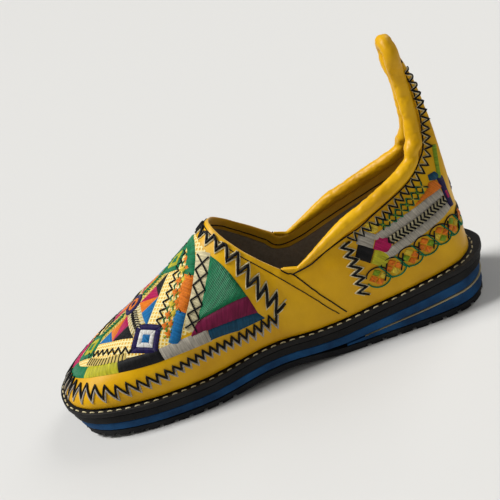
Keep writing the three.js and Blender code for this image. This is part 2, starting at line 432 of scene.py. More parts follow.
class Fan:
    # rows of points on the skin, with the length along each row
    def __init__(self, rows):
        self.rows = []
        for points in rows:
            lengths = [0]
            kept = [points[0]]
            for point in points[1:]:
                if point is None or (point - kept[-1]).length > longestGap:
                    break
                lengths.append(lengths[-1] + (point - kept[-1]).length)
                kept.append(point)
            self.rows.append((lengths, kept))

    def along(self, row, length):
        lengths, kept = self.rows[row]
        if length >= lengths[-1]:
            return kept[-1]
        low, high = 0, len(lengths) - 1
        while high - low > 1:
            middle = (low + high) // 2
            if lengths[middle] > length:
                high = middle
            else:
                low = middle
        share = (length - lengths[low]) / (lengths[high] - lengths[low])
        return kept[low].lerp(kept[high], share)


def castIn(target, direction):
    hit = outerSkin.ray_cast(target + direction * 0.25, -direction)
    return hit[0]


vampPlan = {
    "centre": Vector((72, 0, 57.5)) * mm,
    "slope": math.radians(30.2),
    "depth": 30 * mm,  # the rays start this far under the leather
    "turns": 144,  # rows of rays round the centre
    "tilt": math.radians(1.5),  # from each ray of a row to the next
    "rays": 92,
}
vampUp = Vector((math.sin(vampPlan["slope"]), 0, math.cos(vampPlan["slope"])))
vampAlong = Vector((math.cos(vampPlan["slope"]), 0, -math.sin(vampPlan["slope"])))
vampRoot = vampPlan["centre"] - vampUp * vampPlan["depth"]


def vampRow(turn):
    side = vampAlong * math.cos(turn) + Vector((0, 1, 0)) * math.sin(turn)
    tilts = [vampPlan["tilt"] * i for i in range(vampPlan["rays"])]
    return [castIn(vampRoot, vampUp * math.cos(tilt) + side * math.sin(tilt)) for tilt in tilts]


vampFan = Fan([vampRow(2 * math.pi * i / vampPlan["turns"]) for i in range(vampPlan["turns"])])


def onVamp(x, y):
    # x runs to the toe and y to the wearer's left from the middle of the vamp
    turn = (math.atan2(y, x) / (2 * math.pi) % 1) * vampPlan["turns"]
    row = int(turn)
    far = math.hypot(x, y) * mm
    a = vampFan.along(row % vampPlan["turns"], far)
    b = vampFan.along((row + 1) % vampPlan["turns"], far)
    place, normal = outerSkin.find_nearest(a.lerp(b, turn - row))[:2]
    return place, normal


heelPlan = {
    "low": 26,  # height of the lowest row of rays
    "high": 149,
    "step": 1.5,
    "turn": math.radians(3),  # from each ray round the heel to the next
    "rays": 30,
    "ahead": 2,  # the rays to the side stand this far apart, in front of the heel
    "sideRays": 35,
    "axis": -95,  # the rays round the heel start at this station
    "tabShift": -22,  # and move back by this into the tab, between two heights
    "tabFrom": 80,
    "tabTo": 105,
}


def heelAxis(z):
    share = (z - heelPlan["tabFrom"]) / (heelPlan["tabTo"] - heelPlan["tabFrom"])
    share = max(0, min(1, share))
    return heelPlan["axis"] + heelPlan["tabShift"] * share * share * (3 - 2 * share)


def heelRow(z, side):
    root = Vector((heelAxis(z), 0, z)) * mm
    turns = [heelPlan["turn"] * i for i in range(heelPlan["rays"])]
    points = [castIn(root, Vector((-math.cos(turn), side * math.sin(turn), 0))) for turn in turns]
    for i in range(heelPlan["sideRays"]):
        points.append(castIn(root + Vector((heelPlan["ahead"] * i * mm, 0, 0)), Vector((0, side, 0))))
    return points


heelRows = int((heelPlan["high"] - heelPlan["low"]) / heelPlan["step"])
heelHeights = [heelPlan["low"] + heelPlan["step"] * i for i in range(heelRows)]
heelFans = {side: Fan([heelRow(z, side) for z in heelHeights]) for side in (1, -1)}


def onHeel(s, z):
    # s is the length round from the middle of the heel, to the wearer's left, and z the height
    fan = heelFans[1 if s >= 0 else -1]
    height = max(0, min(heelRows - 1.01, (z - heelPlan["low"]) / heelPlan["step"]))
    row = int(height)
    a = fan.along(row, abs(s) * mm)
    b = fan.along(row + 1, abs(s) * mm)
    place, normal = outerSkin.find_nearest(a.lerp(b, height - row))[:2]
    return place, normal


threadColours = {
    "black": "#070608", "cream": "#E6D9AC", "silver": "#BBB3A4", "white": "#F0ECE2", "green": "#037A4C",
    "leaf": "#86A61A", "orange": "#F57C12", "blue": "#0A72B0", "teal": "#064A68", "navy": "#1A0C4C",
    "magenta": "#BC0F58", "burgundy": "#7E0640", "olive": "#C4BE25", "yellow": "#E9C83A", "straw": "#E0C468",
}
satinMaterials = {}
lineMaterials = {}
for colourName, colourCode in threadColours.items():
    satinMaterials[colourName] = makeSatin("rayon satin stitch " + colourName, colourCode)
    lineMaterials[colourName] = makeThread("sewing thread " + colourName, colourCode)
colourOrder = list(threadColours)
satinBase = 0.12  # the border of a satin area stands this much above the leather
satinShoulder = 1.1  # and it has its whole height this far in from the border


class SatinWork:
    # filled areas of parallel stitches, each a low cushion on the leather
    def __init__(self, place, cell=1.1):
        self.bm = bmesh.new()
        self.uv = self.bm.loops.layers.uv.new("thread")
        self.place = place
        self.cell = cell

    def fill(self, corners, colour, angle=0, rise=0.5, cell=None):
        # corners of a flat shape in plan millimetres, and the direction of its threads
        cell = cell or self.cell
        patch = bmesh.new()
        patch.faces.new([patch.verts.new((x, y, 0)) for x, y in corners])
        turn = math.radians(angle)
        along = Vector((math.cos(turn), math.sin(turn), 0))
        across = leftOf(along)
        for direction, step in ((across, cell), (along, cell * 1.5)):
            reach = [vert.co.dot(direction) for vert in patch.verts]
            first = math.floor(min(reach) / step) + 1
            for k in range(first, math.ceil(max(reach) / step)):
                geometry = patch.verts[:] + patch.edges[:] + patch.faces[:]
                place = direction * k * step
                bmesh.ops.bisect_plane(patch, geom=geometry, plane_co=place, plane_no=direction)
        sides = list(zip(corners, corners[1:] + corners[:1]))
        lifts = {}
        for vert in patch.verts:
            toSide = min(nearSegment(vert.co, Vector((*a, 0)), Vector((*b, 0)))[0] for a, b in sides)
            lifts[vert] = satinBase + rise * math.sqrt(min(1, toSide / satinShoulder))
        uvs = {vert: (vert.co.dot(across), vert.co.dot(along)) for vert in patch.verts}
        self.lay(patch, lifts, uvs, colour)

    def lay(self, patch, lifts, uvs, colour):
        # carries a flat patch to the leather
        copies = {}
        for vert in patch.verts:
            place, normal = self.place(vert.co.x, vert.co.y)
            copies[vert] = self.bm.verts.new(place + normal * lifts[vert] * mm)
        for face in patch.faces:
            made = self.bm.faces.new([copies[vert] for vert in face.verts])
            made.material_index = colourOrder.index(colour)
            for loop, vert in zip(made.loops, face.verts):
                loop[self.uv].uv = uvs[vert]
        patch.free()

    def band(self, points, width, colour, rise=0.55, step=1.6):
        # a strip along a line, stitched straight across
        line = smoothLine(points, step)
        patch = bmesh.new()
        bmesh.ops.create_grid(patch, x_segments=len(line) - 1, y_segments=5, size=1)
        lifts = {}
        uvs = {}
        lengths = lineLengths(line)
        for vert in patch.verts:
            i = round((vert.co.x + 1) / 2 * (len(line) - 1))
            side = vert.co.y
            before, after = line[max(0, i - 1)], line[min(len(line) - 1, i + 1)]
            heading = (after - before).normalized()
            half = width / 2
            ends = min(1, min(lengths[i], lengths[-1] - lengths[i]) / 0.8 + 0.1)
            lifts[vert] = satinBase + rise * math.sqrt(max(0, 1 - side ** 4)) * math.sqrt(ends)
            vert.co = line[i] + leftOf(heading) * side * half
            uvs[vert] = (lengths[i], side * half)
        self.lay(patch, lifts, uvs, colour)

    def finish(self, name, material=None):
        materials = [material] if material else [satinMaterials[colour] for colour in colourOrder]
        obj = finishPiece(meshFrom(self.bm, name), name, materials)
        turnOutwards(obj.data)
        return rideOnUpper(obj)


def turnOutwards(mesh):
    # each flat area shows its upper side, away from the leather
    bm = bmesh.new()
    bm.from_mesh(mesh)
    wrong = []
    for face in bm.faces:
        normal = outerSkin.find_nearest(face.calc_center_median())[1]
        if normal and face.normal.dot(normal) < 0:
            wrong.append(face)
    bmesh.ops.reverse_faces(bm, faces=wrong)
    bm.to_mesh(mesh)
    bm.free()


def rideOnUpper(obj):
    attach(obj, "root")
    return obj


def lineLengths(line):
    lengths = [0]
    for a, b in zip(line, line[1:]):
        lengths.append(lengths[-1] + (b - a).length)
    return lengths


def atLength(line, lengths, length):
    # the point and heading at a length along a line
    for i in range(1, len(line)):
        if lengths[i] >= length or i == len(line) - 1:
            share = (length - lengths[i - 1]) / max(1e-9, lengths[i] - lengths[i - 1])
            return line[i - 1].lerp(line[i], share), (line[i] - line[i - 1]).normalized()


def smoothLine(points, step, closed=False):
    # a Catmull-Rom line through plan or world points, with even steps
    raw = [Vector((*point, 0)) if len(point) == 2 else Vector(point) for point in points]
    count = len(raw)
    fine = []
    for i in range(count if closed else count - 1):
        p0, p1, p2, p3 = [raw[(i + k) % count] if closed else raw[max(0, min(count - 1, i + k))]
                          for k in (-1, 0, 1, 2)]
        for k in range(8):
            t = k / 8
            fine.append(0.5 * (2 * p1 + (p2 - p0) * t + (2 * p0 - 5 * p1 + 4 * p2 - p3) * t * t
                               + (3 * p1 - p0 - 3 * p2 + p3) * t ** 3))
    fine.append(raw[0] if closed else raw[-1])
    lengths = lineLengths(fine)
    steps = max(2, round(lengths[-1] / step))
    return [atLength(fine, lengths, lengths[-1] * i / steps)[0] for i in range(steps + 1)]


strandStep = 1.5  # a strand's points are no further apart than this, in millimetres


class LineWork:
    # lines of thread, each a thin round strand
    def __init__(self, place=None):
        self.place = place
        self.strands = {}

    def strand(self, points, colour, radius, lift):
        # plan points, joined by straight stitches that follow the leather
        placed = []
        for a, b in zip(points, points[1:]):
            a, b = Vector((*a[:2], 0)), Vector((*b[:2], 0))
            count = max(1, math.ceil((b - a).length / strandStep))
            placed += [a.lerp(b, i / count) for i in range(count)]
        placed.append(Vector((*points[-1][:2], 0)))
        world = []
        for point in placed:
            place, normal = self.place(point.x, point.y)
            world.append(place + normal * (radius * 0.4 + lift) * mm)
        self.worldStrand(world, colour, radius)

    def worldStrand(self, world, colour, radius):
        self.strands.setdefault((colour, radius), []).append(world)

    def zigzag(self, points, half, pitch, colour, radius, lift, shift=0):
        # half is half the height of the zigzag, a number or a function of the share of the line
        line = smoothLine(points, 1)
        lengths = lineLengths(line)
        count = round(lengths[-1] / (pitch / 2))
        corners = []
        for i in range(count + 1):
            share = i / count
            middle, heading = atLength(line, lengths, share * lengths[-1])
            reach = half(share) if callable(half) else half
            wobble = 1 + random.uniform(-0.1, 0.1)
            side = reach * wobble if i % 2 else -reach * wobble
            corners.append(middle + leftOf(heading) * (side + shift))
        self.strand(corners, colour, radius, lift)

    def finish(self, name):
        pieces = []
        for (colour, radius), strands in self.strands.items():
            curve = bpy.data.curves.new(name + colour, "CURVE")
            curve.dimensions = "3D"
            curve.bevel_depth = radius * mm
            curve.bevel_resolution = 1
            curve.use_fill_caps = True
            for points in strands:
                spline = curve.splines.new("POLY")
                spline.points.add(len(points) - 1)
                for point, place in zip(spline.points, points):
                    point.co = (*place, 1)
            obj = bpy.data.objects.new(name + colour, curve)
            bpy.context.scene.collection.objects.link(obj)
            depsgraph = bpy.context.evaluated_depsgraph_get()
            mesh = bpy.data.meshes.new_from_object(obj.evaluated_get(depsgraph))
            bpy.data.objects.remove(obj)
            mesh.materials.clear()
            pieces.append((mesh, colour))
        bm = bmesh.new()
        for index, (mesh, colour) in enumerate(pieces):
            first = len(bm.faces)
            bm.from_mesh(mesh)
            bm.faces.ensure_lookup_table()
            for face in bm.faces[first:]:
                face.material_index = index
        materials = [lineMaterials[colour] for mesh, colour in pieces]
        return rideOnUpper(finishPiece(meshFrom(bm, name), name, materials))


def mirrored(points, side):
    return [(x, side * y) for x, y in points]


def rhombus(x, y, halfX, halfY):
    return [(x + halfX, y), (x, y + halfY), (x - halfX, y), (x, y - halfY)]


def makeNetting():
    # couched netting: cream threads laid crosswise over the yellow leather in small diamonds
    # they are drawn 2.2 mm apart, coarser than the real ones, so that they show
    material, tree, shader = newMaterial("couched cream netting", 0.6)
    uv = addNode(tree, "ShaderNodeUVMap", {"uv_map": "thread"}).outputs[0]
    coords = addNode(tree, "ShaderNodeTexCoord").outputs["Object"]
    strands = []
    for turn in (math.radians(40), math.radians(-40)):
        turned = addNode(tree, "ShaderNodeMapping", {"Rotation": (0, 0, turn)}, {"Vector": uv}).outputs[0]
        waves = {"Scale": 0.14, "Distortion": 0.3, "Detail": 1, "bands_direction": "X"}
        wave = addNode(tree, "ShaderNodeTexWave", waves, {"Vector": turned}).outputs[1]
        strands.append(mapRange(tree, wave, 0.5, 0.72, 0, 1))
    net = addNode(tree, "ShaderNodeMath", {"operation": "MAXIMUM"}, {0: strands[0], 1: strands[1]}).outputs[0]
    ground, grain = leatherBase(tree, coords)
    tree.links.new(mixColours(tree, net, ground, srgb("#EDDB92")), shader.inputs["Base Color"])
    tree.links.new(bump(tree, net, 0.4 * mm, 0.8, grain), shader.inputs["Normal"])
    return material


# The vamp's embroidery, in millimetres in its plan: along to the toe, across to the wearer's left.
vamp = {
    "middle": -1,
    "armHalf": 5.4,
    "kite": (20, 16),  # outer corner of the kites, along and across
    "points": (32, 27.5),  # where the outer triangles end on the arms
    "diamondAt": (38.5, 33.5),
    "diamondHalf": (13.4, 11.8),
    "medallion": 7.4,
}
# the arms of the cross: a middle strip with chevrons, between two edge strips with ticks
arm = {"width": 4.4, "edgeAt": 4.1, "edgeWidth": 3.4, "chevronPitch": 2.1, "tickPitch": 2.6}
# the colours turn round the medallion: the kite next to the long arm, the one next to the side arm,
# the triangle next to the long arm and the one next to the side arm
quarterColours = {
    (-1, 1): ("magenta", "orange", "black", "blue"),
    (1, 1): ("orange", "magenta", "blue", "black"),
    (-1, -1): ("orange", "magenta", "blue", "black"),
    (1, -1): ("magenta", "orange", "black", "blue"),
}


def sewQuarters(satin):
    half = vamp["armHalf"]
    kiteLong, kiteSide = vamp["kite"]
    endLong, endSide = vamp["points"]
    for (long, side), colours in quarterColours.items():
        def at(a, b):
            return vamp["middle"] + long * a, side * b
        inner, outer = at(half, half), at(kiteLong, kiteSide)
        satin.fill([inner, at(kiteLong, half), outer], colours[0], 90 - 52 * long * side)
        satin.fill([inner, outer, at(half, kiteSide)], colours[1], 38 * long * side)
        satin.fill([at(kiteLong, half), at(endLong, half), outer], colours[2], 90)
        satin.fill([at(half, kiteSide), outer, at(half, endSide)], colours[3], 0)


def sewFrame(satin, centre, half, width, colour, rise):
    # four mitred sides, each stitched across its own width
    corners = rhombus(0, 0, *half)
    share = 1 - width / min(half)
    for i in range(4):
        a, b = corners[i], corners[(i + 1) % 4]
        ring = [a, b, (b[0] * share, b[1] * share), (a[0] * share, a[1] * share)]
        heading = math.degrees(math.atan2(b[1] - a[1], b[0] - a[0]))
        satin.fill([(centre[0] + x, centre[1] + y) for x, y in ring], colour, heading + 90, rise)


def sewDiamond(satin, centre, half, colours):
    # two frames, one inside the other, and a core
    for size, width, colour in ((1, 0.42, colours[0]), (0.6, 0.34, colours[1])):
        sewFrame(satin, centre, (half[0] * size, half[1] * size), width * min(half), colour, 0.75)
    core = 0.3
    satin.fill(rhombus(*centre, half[0] * core, half[1] * core), colours[2], 90, 0.7, 0.8)


def sewRing(satin, centre, outer, inner, colour, rise):
    # a ring stitched along its radius
    middle, corners = (outer + inner) / 2, 12
    turns = [2 * math.pi * i / corners for i in range(corners + 1)]
    points = [(centre[0] + middle * math.cos(turn), centre[1] + middle * math.sin(turn)) for turn in turns]
    satin.band(points, outer - inner, colour, rise, 0.9)


def sewArms(satin, lines):
    start = vamp["medallion"] - 0.4
    for dx, dy in ((1, 0), (-1, 0), (0, 1), (0, -1)):
        def at(out, over):
            return vamp["middle"] + dx * out - dy * over, dy * out + dx * over
        along = 0 if dx else 1
        end = vamp["diamondAt"][along] - vamp["diamondHalf"][along] + 4  # tucked under the diamond's frame
        ground, ink, tick = ("cream", "black", "straw") if dy else ("straw", "green", "olive")
        satin.band([at(start, 0), at(end, 0)], arm["width"], ground, 0.3)
        for edge in (arm["edgeAt"], -arm["edgeAt"]):
            satin.band([at(start, edge), at(end, edge)], arm["edgeWidth"], ground, 0.45)
        for i in range(int((end - start) / arm["chevronPitch"])):
            tip = start + 1.2 + arm["chevronPitch"] * i
            for flank in (1, -1):
                lines.strand([at(tip, 0), at(tip + 2.4, 2.3 * flank)], ink, 0.4, 0.42)
        for flank in (1, -1):
            for i in range(int((end - start) / arm["tickPitch"])):
                foot = start + 1.5 + arm["tickPitch"] * i
                lines.strand([at(foot, 3 * flank), at(foot + 1.2, 5.2 * flank)], tick, 0.28, 0.45)


# each side of the vamp, from the throat or the toe's middle outwards
flankColours = {1: ("green", "olive", "black", "silver"), -1: ("magenta", "orange", "silver", "black")}
toeArc = [(54.5, 0), (52, 9), (43, 19.5), (31, 28.5), (19, 36.2), (8, 42.2), (-3, 46.6), (-20, 50.3),
          (-39, 51.6), (-60, 50.6), (-79, 49)]
arcStops = (0, 0.15, 0.32, 0.505, 0.735)  # where one colour of the arc ends and the next starts
longBar = [(-53.5, 0), (-52.5, 8), (-44.5, 19.5), (-29, 34), (-14.5, 46.5)]
barStops = (0, 0.36, 0.68, 1)


def partOf(points, low, high):
    # the part of a line between two shares of its length
    line = smoothLine(points, 1)
    lengths = lineLengths(line)
    steps = 8
    return [tuple(atLength(line, lengths, lengths[-1] * (low + (high - low) * i / steps))[0][:2])
            for i in range(steps + 1)]


def sewFlank(satin, lines, side):
    arc = mirrored(toeArc, side)
    for low, high, colour in zip(arcStops, arcStops[1:], flankColours[side]):
        satin.band(partOf(arc, low, high), 7.4, colour, 0.7)
    bar = mirrored(longBar, side)
    for low, high, colour in zip(barStops, barStops[1:], ("green", "orange", "blue")):
        satin.band(partOf(bar, low, high), 7, colour, 0.7)
    triangle = mirrored([(-61, 19.5), (-35, 42.5), (-72.5, 40.3)], side)
    satin.fill(triangle, "green", 25 * side, 0.65)
    stripe = mirrored([(-72.7, 40.2), (-35.2, 42.4), (-25.5, 48.8), (-50, 49.2), (-76.8, 48)], side)
    satin.fill(stripe, "burgundy" if side > 0 else "magenta", 62 * side, 0.65)
    tip = mirrored([(-76.6, 48), (-39, 49), (-37.5, 54.8), (-60, 54.4), (-81.5, 51)], side)
    satin.fill(tip, "teal", 75 * side, 0.65)
    satin.band(mirrored([(-58.5, 15.5), (-29, 46)], side), 9, "cream", 0.3)
    sewCrosses(lines, mirrored([(-57.5, 17), (-29.5, 45)], side), 7.2, 8.2, "black", 0.5, 0.4)


def sewCrosses(lines, points, width, pitch, colour, radius, lift):
    # a row of crosses along a line
    line = smoothLine(points, 1)
    lengths = lineLengths(line)
    count = max(1, round(lengths[-1] / pitch))
    for i in range(count):
        low, lowHeading = atLength(line, lengths, lengths[-1] * i / count)
        high, highHeading = atLength(line, lengths, lengths[-1] * (i + 1) / count)
        for flank in (1, -1):
            a = low + leftOf(lowHeading) * flank * width / 2
            b = high - leftOf(highHeading) * flank * width / 2
            lines.strand([a, b], colour, radius, lift)


def sewBeads(satin, points, pitch, half, colours):
    # a row of small diamonds along a line, in turning colours
    line = smoothLine(points, 1)
    lengths = lineLengths(line)
    count = max(1, round(lengths[-1] / pitch))
    for i in range(count):
        middle, heading = atLength(line, lengths, lengths[-1] * (i + 0.5) / count)
        across = leftOf(heading)
        reach = (heading * half[0], across * half[1])
        corners = [middle + reach[0], middle + reach[1], middle - reach[0], middle - reach[1]]
        angle = math.degrees(math.atan2(across.y, across.x))
        satin.fill([tuple(corner[:2]) for corner in corners], colours[i % len(colours)], angle, 0.8, 0.8)


def sewNetting(satin, lines, side):
    # between the outer triangles and the bars, and between them and the toe's arc
    behind = mirrored([(-49, 3), (-13, 32)], side)
    lines.zigzag(behind, 1.9, 5.4, "black", 0.48, 0.25)
    lines.zigzag(mirrored([(-46, 19), (-17, 42)], side), 1.5, 5, "black", 0.36, 0.25)
    for ends, ink in (([(-50, 8.5), (-14, 37)], "green"), ([(-48, 14), (-13, 42)], "leaf")):
        along = mirrored(ends, side)
        sewCrosses(lines, along, 4.4, 6.2, ink, 0.34, 0.2)
        sewBeads(satin, along, 6.2, (2.7, 2.5), ("orange", "yellow", "orange"))
    lines.zigzag(mirrored([(9, 33.5), (42, 5)], side), 1.9, 5, "black", 0.45, 0.25)
    hatched = mirrored([(14.5, 33.5), (28.5, 25), (40.5, 12.5)], side)
    satin.band(hatched, 5.4, "straw", 0.4)
    sewHatch(lines, hatched, 4.4, 2.5, "black" if side > 0 else "green")


def sewHatch(lines, points, width, pitch, colour):
    # short strokes across a band, each leaning forwards
    line = smoothLine(points, 1)
    lengths = lineLengths(line)
    for i in range(round(lengths[-1] / pitch)):
        middle, heading = atLength(line, lengths, pitch * (i + 0.5))
        across = leftOf(heading) * width / 2
        lines.strand([middle - across, middle + across + heading * 1.4], colour, 0.34, 0.4)


# the zigzag round the vamp, and the one along the throat
zigzagLine = [(62, 0), (59.5, 12), (54, 23), (46, 32.5), (37, 40.5), (27, 47), (17, 52), (7, 55.7),
              (-5, 58.3), (-20, 60), (-35, 60), (-50, 59.2), (-65, 57), (-79, 54), (-91, 50.6)]
throatZigzag = [(-94, 49), (-87.5, 43.5), (-81, 38.5), (-75.5, 30.5), (-70.5, 21.5), (-66.5, 12), (-64.3, 4),
                (-64, 0)]


def sewBorders(lines, side):
    def depth(share):
        # deep at the toe, and even from the middle of the side on
        return 5.4 - 2.9 * min(1, share / 0.5)
    outline = mirrored(zigzagLine, side)
    lines.zigzag(outline, depth, 6.4, "silver", 0.5, 0.1, -2.4 * side)
    lines.zigzag(outline, depth, 6.4, "black", 0.6, 0.35)
    throat = mirrored(throatZigzag, side)
    for shift in (-2.2, 2.2):
        lines.zigzag(throat, 3.2, 6.4, "cream", 0.45, 0.1, shift * side)
    lines.zigzag(throat, 4, 6.4, "black", 0.85, 0.35)


vampNet = SatinWork(onVamp, 1.4)
netSide = [(-59, 0), (-60, 16), (-31, 46), (-6, 44.5), (17, 34.5), (40, 18), (51, 6), (52.5, 0)]
vampNet.fill(netSide + [(x, -y) for x, y in reversed(netSide[1:-1])], "black", 0, -0.02)
vampNet.finish("vamp_netting", makeNetting())
vampSatin = SatinWork(onVamp)
vampLines = LineWork(onVamp)
sewQuarters(vampSatin)
sewArms(vampSatin, vampLines)
for side in (1, -1):
    sewFlank(vampSatin, vampLines, side)
    sewNetting(vampSatin, vampLines, side)
    sewBorders(vampLines, side)
    beside = (vamp["middle"] - 1, side * vamp["diamondAt"][1])
    ahead = (vamp["middle"] + side * vamp["diamondAt"][0], 0)
    sewDiamond(vampSatin, beside, vamp["diamondHalf"], ("navy", "white", "blue"))
    sewDiamond(vampSatin, ahead, vamp["diamondHalf"], ("green", "olive", "green"))
medallion = (vamp["middle"], 0)
sewRing(vampSatin, medallion, vamp["medallion"] + 0.4, 4.5, "navy", 0.95)
sewRing(vampSatin, medallion, 4.8, 2.2, "orange", 0.9)
sewRing(vampSatin, medallion, 2.4, 0.6, "navy", 0.95)
vampSatin.fill(rhombus(*medallion, 1.1, 1.1), "blue", 0, 1.1)
vampSatin.finish("vamp_satin")
vampLines.finish("vamp_threads")
print("vamp embroidered")


# The heel's embroidery: s runs round from the middle of the heel in millimetres, z is the height.
heelBars = {
    "upper": ([(19, 67.5), (30, 65.5), (45, 62.5), (60, 59.5), (66, 58)], 4.8),
    "braid": ([(19, 63.2), (30, 61.4), (45, 58), (60, 54.8)], 4.2),
    "lower": ([(19, 59), (30, 57), (45, 53.5), (66, 47.8)], 5),
}
heelZigzag = [(5, 137), (6.2, 128), (7.6, 118), (8.6, 107), (11.5, 99), (13, 92), (18, 86.3), (26, 81.3),
              (34, 77.3), (44, 72.8), (54, 68.8), (64, 65.8), (78, 62.5)]
frontZigzag = [(81.5, 62.5), (83, 54), (84.5, 44), (85.8, 36), (86.4, 30.5)]
scallopRow = [(12, 48.4), (23, 48), (33, 47.5), (43.5, 45.5), (54, 43), (65, 40.5), (75, 38)]


def heelSide(points, side):
    return [(side * s, z) for s, z in points]


def sewHerringbone(lines, points, width, pitch, colour, lift):
    # pairs of strokes that meet in the middle of a band
    line = smoothLine(points, 1)
    lengths = lineLengths(line)
    for i in range(round(lengths[-1] / pitch)):
        middle, heading = atLength(line, lengths, pitch * (i + 0.3))
        across = leftOf(heading) * width / 2
        for flank in (1, -1):
            ends = [middle + across * flank, middle - across * flank * 0.15 + heading * 1.9]
            lines.strand(ends, colour, 0.56, lift)


def sewHeelBars(satin, lines, side):
    for name, colour in (("upper", "silver"), ("braid", "cream"), ("lower", "silver")):
        points, width = heelBars[name]
        satin.band(heelSide(points, side), width, colour, 0.6)
    sewHerringbone(lines, heelSide(heelBars["braid"][0], side), 4.2, 2.5, "black", 0.7)
    flame = heelSide([(17, 69.5), (19, 75), (23.5, 75.4), (27, 72), (39, 66.8), (28, 68.4)], side)
    satin.fill(flame, "orange", 60 * side, 0.6)
    cap = heelSide([(14.5, 75.5), (16.5, 79), (21.5, 79), (22.5, 76), (18, 74.4)], side)
    satin.fill(cap, "teal", 80, 0.6)
    satin.band(heelSide([(9.5, 92), (12.5, 82), (16, 73.5)], side), 2.6, "leaf", 0.5)
    satin.band(heelSide([(15.5, 75), (16.2, 66), (16.8, 57)], side), 4.6, "navy", 0.6)
    satin.band(heelSide([(16.2, 68), (16.6, 61)], side), 2.6, "magenta", 0.75)
    sewRing(satin, (side * 64, 65.2), 3.4, 0.2, "yellow", 0.7)


def sewHeelEnds(satin, side):
    # four small diamonds where the bars meet the front zigzag
    half = 6.1
    places = ((70.3, 60.2, "silver"), (64, 54.4, "magenta"), (75.6, 53, "black"), (69.2, 47.4, "olive"))
    for s, z, colour in places:
        corners = [(s + half * a, z + half * b) for a, b in ((1, -0.1), (0, 1), (-1, 0.1), (0, -1))]
        satin.fill(heelSide(corners, side), colour, 50 * side, 0.65)


def sewHeelNet(satin, lines, side):
    row = heelSide([(26, 75.6), (35, 71.6), (46, 67.3), (60, 63.4)], side)
    for ink, width in (("green", 5.6), ("black", 4)):
        sewCrosses(lines, row, width, 4.6, ink, 0.32, 0.2)
    sewBeads(satin, row, 4.6, (1.5, 1.5), ("yellow", "leaf"))


scallop = {
    "half": (6.9, 5.6),
    "petal": (2.7, 2.2),
    "petals": ("orange", "orange", "yellow", "orange", "leaf"),
}


def sewScallop(satin, lines, s, z, side, turn):
    # black arc above and green below, with petals inside whose colours turn from one scallop to the next
    wide, high = scallop["half"]
    arc = [math.radians(15 * i) for i in range(1, 12)]
    for ink, way in (("black", 1), ("green", -1)):
        points = [(s + wide * math.cos(angle), z + way * high * math.sin(angle)) for angle in arc]
        lines.strand(heelSide(points, side), ink, 0.42, 0.2)
    for j, (ds, dz) in enumerate(((-3, 0), (0, 2.6), (3, 0), (0, -2.6))):
        corners = rhombus(s + ds, z + dz, *scallop["petal"])
        colour = scallop["petals"][(turn + 2 * j) % len(scallop["petals"])]
        satin.fill(heelSide(corners, side), colour, 30 * j, 0.75, 0.8)


def sewScallops(satin, lines, side):
    for i, (s, z) in enumerate(scallopRow):
        sewScallop(satin, lines, s, z, side, i + 1)
    for (s, z), (t, y) in zip(scallopRow, scallopRow[1:]):
        across, up = (s + t) / 2, (z + y) / 2
        for flank in (1, -1):
            cross = [(across - 2.4, up - 4.4 * flank), (across + 2.4, up + 4.4 * flank)]
            lines.strand(heelSide(cross, side), "green" if flank > 0 else "black", 0.42, 0.3)


def sewHeelBorders(lines, side):
    collar = heelSide(heelZigzag, side)
    lines.zigzag(collar, 1.7, 5, "cream", 0.45, 0.1, 0.9 * side)
    lines.zigzag(collar, 2.2, 5, "black", 0.56, 0.3)
    front = heelSide(frontZigzag, side)
    for shift in (1.8, -1.6):
        lines.zigzag(front, 2.4, 5.4, "cream", 0.45, 0.1, shift)
    lines.zigzag(front, 3, 5.4, "black", 0.68, 0.35)


heelSatin = SatinWork(onHeel)
heelLines = LineWork(onHeel)
for side in (1, -1):
    sewHeelBars(heelSatin, heelLines, side)
    sewHeelEnds(heelSatin, side)
    sewHeelNet(heelSatin, heelLines, side)
    sewScallops(heelSatin, heelLines, side)
    sewHeelBorders(heelLines, side)
sewScallop(heelSatin, heelLines, 0, scallopRow[0][1], 1, 0)
sewDiamond(heelSatin, (0, 65), (8, 8.5), ("navy", "white", "blue"))
for z, half, colour in ((78.5, 4, "orange"), (87, 3.4, "green"), (94.5, 2.9, "magenta")):
    heelSatin.fill(rhombus(0, z, half * 0.85, half), colour, 0, 0.65, 0.8)
heelSatin.finish("heel_satin")
heelLines.finish("heel_threads")
print("heel embroidered")


# Seams and topstitching, in millimetres.
seams = {
    "throatInset": 3.6,  # how far the thread line runs in from the throat's edge
    "bindingInset": 1.5,
    "stitch": 3,  # length of one stitch
    "dip": 0.28,  # how far the thread sinks in at each hole
    "radius": 0.32,
    "throatEnd": -10,  # the throat's line follows the edge in front of this station
    "collarEnd": -22,  # and the line under the roll behind this one
    "tail": [(-14.5, 28.5, 59.5), (-22, 31.5, 51), (-31, 34.5, 40), (-38, 36, 30), (-41.5, 37, 25)],
    "vampEdge": [(-21, 29, 62), (-26, 31, 54), (-34, 35, 42), (-43, 37, 29), (-46, 38, 24.5)],
}


def alongSkin(points, tree, radius):
    # a line pressed onto a skin of the upper, with a point every millimetre
    line = []
    for point in smoothLine(points, mm):
        place, normal = tree.find_nearest(point)[:2]
        line.append(place + normal * (radius * 0.4 + 0.1) * mm)
    return line


def stitched(line):
    # the line sinks into the leather at each hole
    sunk = []
    for i, place in enumerate(line):
        normal = outerSkin.find_nearest(place)[1]
        sunk.append(place - normal * seams["dip"] * mm * (i % seams["stitch"] == 0))
    return sunk


def bothSides(points, flank):
    return [Vector((x, y * flank, z)) * mm for x, y, z in points]


